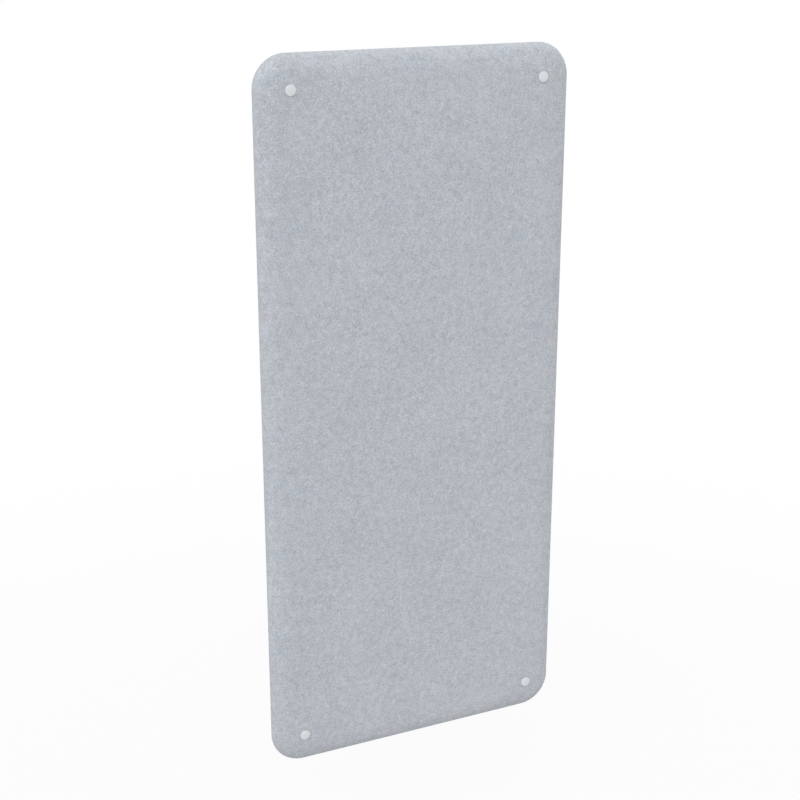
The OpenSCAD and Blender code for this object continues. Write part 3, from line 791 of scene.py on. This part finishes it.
def make_cap(name, at):
    """A domed cap with a soft edge, hollow over the socket's flange, on a slotted stem."""
    top, ceiling, seat = cap_high[2], FRONT_Z + 1.0, FRONT_Z + 0.3
    fall, soft, slope, hollow_r = 0.9, 0.8, math.radians(14), 9.4
    dome_r = CAP_R - soft
    profile = [(0.0, top)]
    for k in range(1, 15):
        r = dome_r * k / 14
        profile.append((r, top - fall * (r / CAP_R) ** 3))
    low = profile[-1][1]
    for k in range(1, 7):
        a = slope + (math.pi / 2 - slope) * k / 6
        out = (math.sin(a) - math.sin(slope)) / (1 - math.sin(slope))
        profile.append((dome_r + soft * out, low - soft * (math.cos(slope) - math.cos(a))))
    profile += [(CAP_R, seat + 0.2), (CAP_R - 0.2, seat), (hollow_r + 0.2, seat), (hollow_r, seat + 0.15)]
    profile += [(hollow_r, ceiling - 0.1), (hollow_r - 0.1, ceiling), (0.0, ceiling)]
    shape = turned(profile, at, 64)
    shape.join(stem_legs(at, cap_low[2], ceiling))
    make(f"{name}_moulding", shape, CAP_PLASTIC, body=name, nodes=[name], sharp=40)


def make_socket(name, at):
    """A flanged cup for the cap's stem, on a floor that the screw clamps."""
    low, floor, top = socket_low[2], washer_low[2], socket_high[2]
    profile = rounded_outline([
        (SCREW_HOLE_R, low, 0.2), (BARREL_R, low, 0.5), (BARREL_R, FRONT_Z, 0.15),
        (SOCKET_FLANGE_R, FRONT_Z, 0.15), (SOCKET_FLANGE_R, top, 0.35), (BORE_R, top, 0.4),
        (BORE_R, floor, 0.3), (SCREW_HOLE_R, floor, 0.2),
    ])
    shape = turned(profile, at, 56)
    make(f"{name}_moulding", shape, SOCKET_PLASTIC, nodes=[name], sharp=40)


def make_bush(name, at):
    """A flanged bush behind the panel, with a fine ring groove in its face."""
    groove_r, groove_deep = 9.0, 0.35
    profile = rounded_outline([
        (SCREW_HOLE_R, 0.0, 0.3), (groove_r - 0.4, 0.0, 0.15), (groove_r - 0.25, groove_deep, 0.1),
        (groove_r + 0.25, groove_deep, 0.1), (groove_r + 0.4, 0.0, 0.15), (BUSH_FLANGE_R, 0.0, 0.7),
        (BUSH_FLANGE_R, REAR_Z, 0.5), (BARREL_R, REAR_Z, 0.2), (BARREL_R, FRAME_REAR_Z, 0.3),
        (SCREW_HOLE_R, FRAME_REAR_Z, 0.2),
    ])
    shape = turned(profile, at, 64)
    make(f"{name}_moulding", shape, BUSH_PLASTIC, nodes=[name], sharp=40)


def tube(at, inner, outer, low, high, soft):
    """A plain tube along z. soft holds its edges' radii: inner low, outer low, outer high, inner high."""
    corners = zip((inner, outer, outer, inner), (low, low, high, high), soft)
    return turned(rounded_outline(list(corners), 3), at, 48)


def make_spacer(name, at):
    """A steel tube that takes the screw's clamping force."""
    shape = tube(at, SCREW_HOLE_R, SPACER_R, spacer_low[2], spacer_high[2], (0.25, 0.3, 0.3, 0.25))
    make(f"{name}_tube", shape, ZINC, nodes=[name], sharp=40)


def hexagon_r(across, turn):
    """How far a hexagon of a size across its flats reaches at a share of a turn."""
    return across / 2 / math.cos(math.pi / 3 * ((6 * turn + 0.5) % 1 - 0.5))


def thread_r(z, turn, top, tip):
    """How far an M6 thread reaches: a crest and a root once each pitch, fading at its top and its tip."""
    pitch, root_deep, run_out, taper, taper_deep = 1.0, 0.55, 1.2, 0.9, 0.765
    root_flat, flank = 0.12, 0.7
    share = (z / pitch + turn) % 1.0
    ridge = min(max((1 - abs(2 * share - 1) - root_flat) / flank, 0.0), 1.0)
    root = root_deep * (1 - ridge) * smooth((top - z) / run_out)
    point = taper_deep * smooth((tip + taper - z) / taper)
    return SCREW_R - max(root, point)


def threaded_screw(at):
    """A button-head screw with a hex socket, and a real thread behind the panel."""
    shape = Shape()
    steps = 36
    across, neck_r, head_z = 4.0, SCREW_R - 0.05, washer_high[2]
    edge, top = head_z + 0.8, head_z + 3.3
    dome_r = (HEAD_R ** 2 + (top - edge) ** 2) / (2 * (top - edge))

    def ring(z, reach):
        """A loop at a height, with its radius worked out from the share of a turn."""
        points = []
        for k in range(steps):
            a, r = 2 * math.pi * k / steps, reach(k / steps)
            points.append((at[0] + r * math.cos(a), at[1] + r * math.sin(a), z))
        return shape.add(points)

    loops = [ring(top - 2.0, lambda turn: 0.2)]
    for wide, z in ((across - 0.1, top - 2.0), (across, top - 1.9), (across, top - 0.45)):
        loops.append(ring(z, lambda turn: hexagon_r(wide, turn)))
    for r in (2.45, 2.9, 3.6, 4.3, 4.8):
        loops.append(ring(top - dome_r + math.sqrt(dome_r ** 2 - r ** 2), lambda turn: r))
    rim_r = HEAD_R - 0.15
    head = [(rim_r, edge + 0.12), (HEAD_R, edge - 0.15), (HEAD_R, head_z + 0.12), (rim_r, head_z)]
    neck = [(SCREW_R + 0.2, head_z), (neck_r, head_z - 0.25), (neck_r, 1.0)]
    for r, z in head + neck:
        loops.append(ring(z, lambda turn: r))
    thread_top, thread_step, tip = 0.6, 0.126, screw_low[2]
    for z in steps_between(thread_top, tip, thread_step):
        loops.append(ring(z, lambda turn: thread_r(z, turn, thread_top, tip)))
    return shape.skin(loops)


def make_fixings():
    screws, washers = Shape(), Shape()
    for word, (side, level) in CORNERS.items():
        at = (side * FIX_X, level * FIX_Y)
        make_cap(f"cap_{word}", at)
        make_socket(f"socket_{word}", at)
        make_bush(f"bush_{word}", at)
        make_spacer(f"spacer_{word}", at)
        screws.join(threaded_screw(at))
        washers.join(tube(at, WASHER_HOLE_R, WASHER_R, washer_low[2], washer_high[2], (0.1, 0.25, 0.4, 0.1)))
    make("button_head_screws", screws, ZINC, nodes=["screws"], sharp=32)
    make("flat_washers", washers, ZINC, nodes=["washers"], sharp=40)


make_fixings()

# Zip


def zip_point(x, depth, z):
    """A place of the zip: along the edge, in from the edge, and forward from the seam."""
    return (x, BOTTOM + depth, MID_Z + z)


def coil(face):
    """One row of the zip: a nylon coil, flattened, with its heads towards the other row."""
    shape = Shape()
    pitch, steps, sides, wire_r, heads, end_gap = 1.6, 10, 5, 0.30, 0.42, 0.3
    middle, half_w = (heads + TEETH_SIDE) / 2, (TEETH_SIDE - heads) / 2 - wire_r
    middle_depth, half_h = ZIP_DEPTH - TEETH_DEEP / 2, TEETH_DEEP / 2 - wire_r
    lean = 0.25 * pitch if face > 0 else 0.0
    half_l = TEETH_END - end_gap
    count = int(2 * TEETH_END / pitch * steps)
    loops = []
    for i in range(count + 1):
        a = 2 * math.pi * i / steps
        out_z, out_depth = -face * math.cos(a), math.sin(a)
        x = -half_l + 2 * half_l * i / count + lean * math.cos(a)
        ring = []
        for k in range(sides):
            b = 2 * math.pi * k / sides
            z = face * middle + (half_w + wire_r * math.cos(b)) * out_z
            depth = middle_depth + (half_h + wire_r * math.cos(b)) * out_depth
            ring.append(zip_point(x + wire_r * math.sin(b), depth, z))
        loops.append(shape.add(ring))
    return shape.skin(loops)


def tape(face):
    """A tape with soft edges, in short lengths along the seam."""
    shape = Shape()
    low, high = ZIP_DEPTH, ZIP_DEPTH + TAPE_T
    outline = rounded_outline([
        (TAPE_INNER, low, 0.15), (TAPE_OUTER, low, 0.2), (TAPE_OUTER, high, 0.2), (TAPE_INNER, high, 0.25),
    ], 2)
    loops = []
    for x in steps_between(-TAPE_END, TAPE_END, 4):
        loops.append(shape.add([zip_point(x, depth, face * z) for z, depth in outline]))
    return shape.skin(loops)


def slider():
    """The die-cast slider: two waisted plates, side lips, a post and a small lug for a pull."""
    shape = Shape()
    half_l, half_w, plate_t = SLIDER_HALF_L, SLIDER_HALF_W, 0.9
    front = [
        (half_l, half_w - 0.7, 1.1), (1.4, half_w, 1.6), (-2.2, half_w - 0.15, 1.6),
        (-half_l, half_w - 1.4, 1.3),
    ]
    outline = rounded_outline(front + [(x, -z, r) for x, z, r in reversed(front)])
    under, lip_deep = SLIDER_OUTSIDE + 0.3, 2.4
    for low in (SLIDER_OUTSIDE, SLIDER_INSIDE - plate_t):
        plate = rounded_plate(outline, low, low + plate_t, 0.25)
        shape.join(plate, lambda p: zip_point(SLIDER_X + p[0], p[2], p[1]))
    lip = rounded_box((-4.2, under, half_w - 1.0), (4.2, under + lip_deep, half_w - 0.05), 0.22)
    post = rounded_box((2.0, under, -0.3), (half_l, SLIDER_INSIDE - 0.3, 0.3), 0.12)
    lug = rounded_box((-2.6, 0.25, -0.6), (1.2, under, 0.6), 0.2)
    for part, flip in ((post, 1), (lip, -1), (lip, 1), (lug, 1)):
        shape.join(part, lambda p: zip_point(SLIDER_X + p[0], p[1], flip * p[2]))
    return shape


def stitch(middle, height, face):
    """One stitch along the rim at a height, whose two ends sink into the cloth."""
    shape = Shape()
    length, yarn_r, proud, sink = 3.0, 0.27, 0.17, 0.34
    inward = rim_inward(height)
    slope = Vector((rim_inward(height + 0.5) - rim_inward(height - 0.5), 1.0)).normalized()
    out = Vector((-slope.y, slope.x))
    loops = []
    for k in range(7):
        along = k / 3 - 1
        x = middle + length * along / 2
        sunk = sink * along ** 4
        thick = yarn_r * (1 - 0.5 * abs(along) ** 3)
        ring = []
        for across, up in circle(thick, 6):
            off = out * (across + proud - sunk) + slope * up
            ring.append(zip_point(x, inward + off.x, face * (height + off.y)))
        loops.append(shape.add(ring))
    return shape.skin(loops)


def stitches():
    """Lock stitches that hold each tape to its cover, along both sides of the slot."""
    shape = Shape()
    pitch, height, row_end, stray = 3.6, 7.4, TEETH_END + 1, 0.15
    for face in (-1, 1):
        for i in range(int(2 * row_end / pitch)):
            middle = -row_end + pitch * (i + 0.5) + stray * noise.noise(Vector((i * 1.7, 5.0 * face, 0)))
            shape.join(stitch(middle, height, face))
    return shape


def end_stops():
    """The two clips that end the zip, each over both rows, with a hair's gap at their ends."""
    shape = Shape()
    middle, half_l = (TEETH_END + stop_high[0]) / 2, (stop_high[0] - TEETH_END) / 2 - 0.05
    low, half_w = ZIP_DEPTH - TEETH_DEEP, TEETH_SIDE
    for side in (-1, 1):
        x = side * middle
        clip = rounded_box((x - half_l, low, -half_w), (x + half_l, ZIP_DEPTH, half_w), 0.5)
        shape.join(clip, lambda p: zip_point(*p))
    return shape


def make_zip():
    for face, word in ((1, "front"), (-1, "rear")):
        teeth_node, tape_node = f"zip_teeth_{word}", f"zip_tape_{word}"
        make(f"zip_coil_{word}", coil(face), COIL_PLASTIC, nodes=[teeth_node], weld=False)
        make(f"zip_woven_tape_{word}", tape(face), WEAVE, nodes=[tape_node], sharp=40)
    make("zip_end_clips", end_stops(), NICKEL, nodes=["zip_stops"], sharp=40)
    make("zip_cast_slider", slider(), NICKEL, body="slider", nodes=["zip_slider"], sharp=40)
    make("zip_lock_stitches", stitches(), THREAD, sharp=60)


make_zip()

# Frame and core


def dress(prefixes, material):
    """Gives a material to the CAD nodes whose names start with one of the prefixes."""
    for node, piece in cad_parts.items():
        if node.startswith(prefixes):
            piece.data.materials.clear()
            piece.data.materials.append(material)


dress(("stile_",), PINE_Z)
dress(("rail_", "cross_rail_upper", "cross_rail_lower", "block_"), PINE_X)
dress(("corner_dowels", "cross_rail_dowels"), BEECH)
dress(("board_",), HARDBOARD)


def slab(low, high):
    """A needled fibre slab: soft rounded edges and slightly uneven faces."""
    shape = Shape()
    soft, step, dip = 2.2, 24.0, 0.18
    (x0, y0, z0), (x1, y1, z1) = low, high
    middle, half_t = (z0 + z1) / 2, (z1 - z0) / 2

    def lines(a, b):
        """Grid lines across the slab, closer together over its soft edges."""
        edge = [soft * share for share in (0.0, 0.12, 0.45, 1.0)]
        inner = steps_between(a + step, b - step, step)
        return [a + d for d in edge] + inner + [b - d for d in reversed(edge)]

    def half_thick(x, y):
        inset = min(x - x0, x1 - x, y - y0, y1 - y)
        share = min(max(inset, 0.0) / soft, 1.0)
        rounded = half_t - soft + soft * math.sqrt(1 - (1 - share) ** 2)
        return rounded + dip * (uneven(x, y, 40, z0) - 1.0) * share

    rims = []
    xs, ys = lines(x0, x1), lines(y0, y1)
    for side in (-1, 1):
        grid = [shape.add([(x, y, middle + side * half_thick(x, y)) for y in ys]) for x in xs]
        for a, b in zip(grid, grid[1:]):
            shape.bridge(a, b, closed=False)
        bottom, top = [column[0] for column in grid], [column[-1] for column in grid]
        rims.append(bottom + grid[-1][1:] + top[-2::-1] + grid[0][-2:0:-1])
    shape.bridge(*rims)
    return shape


def make_absorbers():
    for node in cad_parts:
        if node.startswith("absorber_"):
            piece = make(f"{node}_slab", slab(*lying_box(node)), FIBRE, nodes=[node])


make_absorbers()

# Floor, light and camera

WHITE = (1, 1, 1, 1)


def seen_by(tree, *rays):
    """1 for rays of the named kinds, 0 for others."""
    path = add_node(tree, "ShaderNodeLightPath").outputs
    seen, *others = [path[f"Is {ray} Ray"] for ray in rays]
    for ray in others:
        seen = add_node(tree, "ShaderNodeMath", {0: seen, 1: ray}, operation="MAXIMUM").outputs[0]
    return seen


def floor_material():
    """White to the camera but for the shadow, and see-through from below, to show the panel's underside."""
    material = bpy.data.materials.new("floor_white")
    material.use_nodes = True
    tree = material.node_tree
    tree.nodes.clear()
    diffuse = add_node(tree, "ShaderNodeBsdfDiffuse", {"Color": (0.59, 0.59, 0.59, 1)}).outputs[0]
    glow = add_node(tree, "ShaderNodeEmission", {"Color": WHITE}).outputs[0]
    where = add_node(tree, "ShaderNodeTexCoord").outputs["Object"]
    far = add_node(tree, "ShaderNodeVectorMath", {0: where}, operation="LENGTH").outputs["Value"]
    inputs = {"Value": far, "From Min": 1.4, "From Max": 3.6, "To Min": 0.92, "To Max": 1.0}
    fade = add_node(tree, "ShaderNodeMapRange", inputs, interpolation_type="SMOOTHSTEP").outputs["Result"]
    inputs = {0: seen_by(tree, "Camera", "Glossy"), 1: fade}
    share = add_node(tree, "ShaderNodeMath", inputs, operation="MULTIPLY").outputs[0]
    above = add_node(tree, "ShaderNodeMixShader", {0: share, 1: diffuse, 2: glow}).outputs[0]
    behind = add_node(tree, "ShaderNodeNewGeometry").outputs["Backfacing"]
    clear = add_node(tree, "ShaderNodeBsdfTransparent").outputs[0]
    one_sided = add_node(tree, "ShaderNodeMixShader", {0: behind, 1: above, 2: clear}).outputs[0]
    add_node(tree, "ShaderNodeOutputMaterial", {0: one_sided})
    return material


def make_floor(height, half_size):
    mesh = bpy.data.meshes.new("floor")
    square = ((-1, -1), (1, -1), (1, 1), (-1, 1))
    mesh.from_pydata([(half_size * x, half_size * y, height) for x, y in square], [], [(0, 1, 2, 3)])
    mesh.materials.append(floor_material())
    floor = bpy.data.objects.new("floor", mesh)
    bpy.context.scene.collection.objects.link(floor)


def make_world(ambient):
    """White to the camera, in reflections and through glass, and an even light of its own strength."""
    world = bpy.data.worlds.new("studio")
    bpy.context.scene.world = world
    world.use_nodes = True
    tree = world.node_tree
    tree.nodes.clear()
    inputs = {"Value": seen_by(tree, "Camera", "Transmission", "Glossy"), "To Min": ambient, "To Max": 1.0}
    strength = add_node(tree, "ShaderNodeMapRange", inputs).outputs["Result"]
    back = add_node(tree, "ShaderNodeBackground", {"Color": WHITE, "Strength": strength}).outputs[0]
    add_node(tree, "ShaderNodeOutputWorld", {0: back})


def soft_sun(name, towards, strength, degrees):
    """An even light from a direction, as soft as a large distant softbox of that angle."""
    light = bpy.data.lights.new(name, "SUN")
    light.energy = strength
    light.angle = math.radians(degrees)
    lamp = bpy.data.objects.new(name, light)
    lamp.location = Vector(towards) * 4
    lamp.rotation_mode = "QUATERNION"
    lamp.rotation_quaternion = (-Vector(towards)).to_track_quat("-Z", "Y")
    bpy.context.scene.collection.objects.link(lamp)


def make_camera(where, down, right, lens):
    """A camera that looks along y, turned down and to the right by angles in radians."""
    data = bpy.data.cameras.new("camera")
    data.sensor_fit = "HORIZONTAL"
    data.sensor_width = 36.0
    data.lens = lens
    camera = bpy.data.objects.new("camera", data)
    camera.location = where
    camera.rotation_euler = Euler((math.pi / 2 - down, 0.0, -right))
    bpy.context.scene.collection.objects.link(camera)
    bpy.context.scene.camera = camera


make_floor(-1.18, 14.0)
make_world(0.828)
soft_sun("key", (-0.329, -0.487, 0.809), 1.22, 35)
soft_sun("left", (-0.95, -0.24, 0.20), 0.36, 50)
soft_sun("right_back", (0.95, 0.30, 0.05), 0.46, 50)
# The camera's place, angles and lens come from a fit to the photograph's edges, corners and caps
make_camera((-1.33154, -2.76855, 1.04461), down=0.32114, right=0.44158, lens=66.98)
bpy.context.scene.view_settings.view_transform = "Standard"
